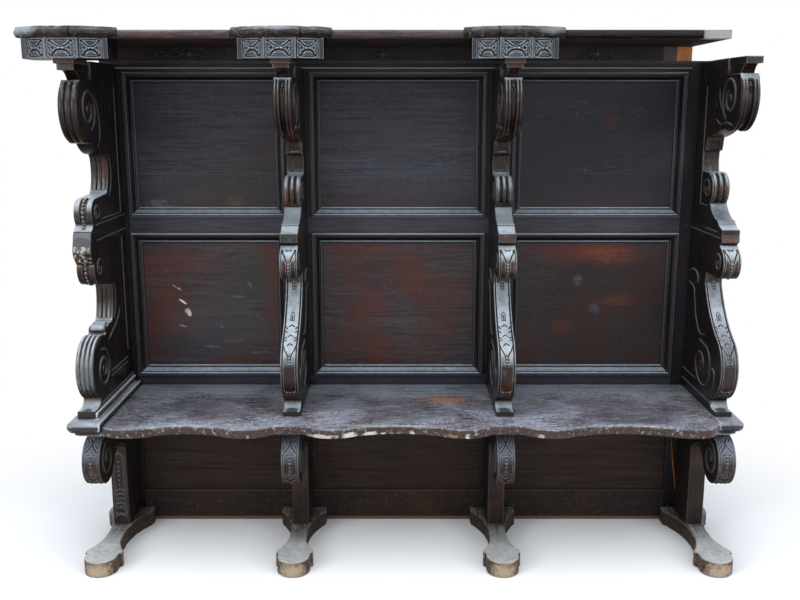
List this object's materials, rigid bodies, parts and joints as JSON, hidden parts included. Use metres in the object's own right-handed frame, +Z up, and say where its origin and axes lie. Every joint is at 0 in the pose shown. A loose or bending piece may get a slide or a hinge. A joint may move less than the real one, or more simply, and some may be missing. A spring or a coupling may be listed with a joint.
{
  "type": "choir stall",
  "caption": "Panelled wooden choir stall with carved scroll wings between the seats, sledge feet, a shaped seat board and a moulded canopy on bracket blocks.",
  "frame": {"origin": "on the floor under the middle of the stall's overall length and depth", "axes": "+X along the stall to the right of someone facing it, -Y towards the front of the seats, +Z up"},
  "size_m": [2.158, 0.4989, 1.656],
  "materials": {
    "panelled_walnut": "old waxed walnut, dark red-brown",
    "carved_walnut": "old waxed walnut, carved, nearly black with worn edges",
    "seat_walnut": "worn walnut, grey and scuffed",
    "canopy_walnut": "old walnut, dry, brown"
  },
  "bodies": {
    "root": {"end_stile_left": "panelled_walnut", "end_stile_right": "panelled_walnut", "bottom_rail": "panelled_walnut", "seat_rail": "panelled_walnut", "mid_rail": "panelled_walnut", "top_rail": "panelled_walnut", "plinth_muntin_left": "panelled_walnut", "plinth_muntin_right": "panelled_walnut", "plinth_panel_left": "panelled_walnut", "plinth_panel_middle": "panelled_walnut", "plinth_panel_right": "panelled_walnut", "lower_muntin_left": "panelled_walnut", "lower_muntin_right": "panelled_walnut", "lower_panel_left": "panelled_walnut", "lower_panel_middle": "panelled_walnut", "lower_panel_right": "panelled_walnut", "upper_muntin_left": "panelled_walnut", "upper_muntin_right": "panelled_walnut", "upper_panel_left": "panelled_walnut", "upper_panel_middle": "panelled_walnut", "upper_panel_right": "panelled_walnut", "lower_moulding_left": "panelled_walnut", "lower_moulding_middle": "panelled_walnut", "lower_moulding_right": "panelled_walnut", "upper_moulding_left": "panelled_walnut", "upper_moulding_middle": "panelled_walnut", "upper_moulding_right": "panelled_walnut", "frieze_board": "panelled_walnut", "frame_pegs": "panelled_walnut", "upper_wing_left": "carved_walnut", "upper_wing_middle_left": "carved_walnut", "upper_wing_middle_right": "carved_walnut", "upper_wing_right": "carved_walnut", "lower_wing_left": "carved_walnut", "lower_wing_middle_left": "carved_walnut", "lower_wing_middle_right": "carved_walnut", "lower_wing_right": "carved_walnut", "seat_bracket_left": "carved_walnut", "seat_bracket_middle_left": "carved_walnut", "seat_bracket_middle_right": "carved_walnut", "seat_bracket_right": "carved_walnut", "foot_left": "carved_walnut", "foot_middle_left": "carved_walnut", "foot_middle_right": "carved_walnut", "foot_right": "carved_walnut", "seat_board": "seat_walnut", "end_sill_left": "seat_walnut", "end_sill_right": "seat_walnut", "canopy_cap_left": "canopy_walnut", "canopy_block_left": "canopy_walnut", "canopy_nosing_left": "canopy_walnut", "canopy_cap_middle": "canopy_walnut", "canopy_block_middle": "canopy_walnut", "canopy_nosing_middle": "canopy_walnut", "canopy_cap_right": "canopy_walnut", "canopy_block_right": "canopy_walnut", "canopy_nosing_right": "canopy_walnut", "canopy_board": "canopy_walnut", "block_plates": "canopy_walnut", "frieze_bead": "canopy_walnut"}
  },
  "joints": []
}
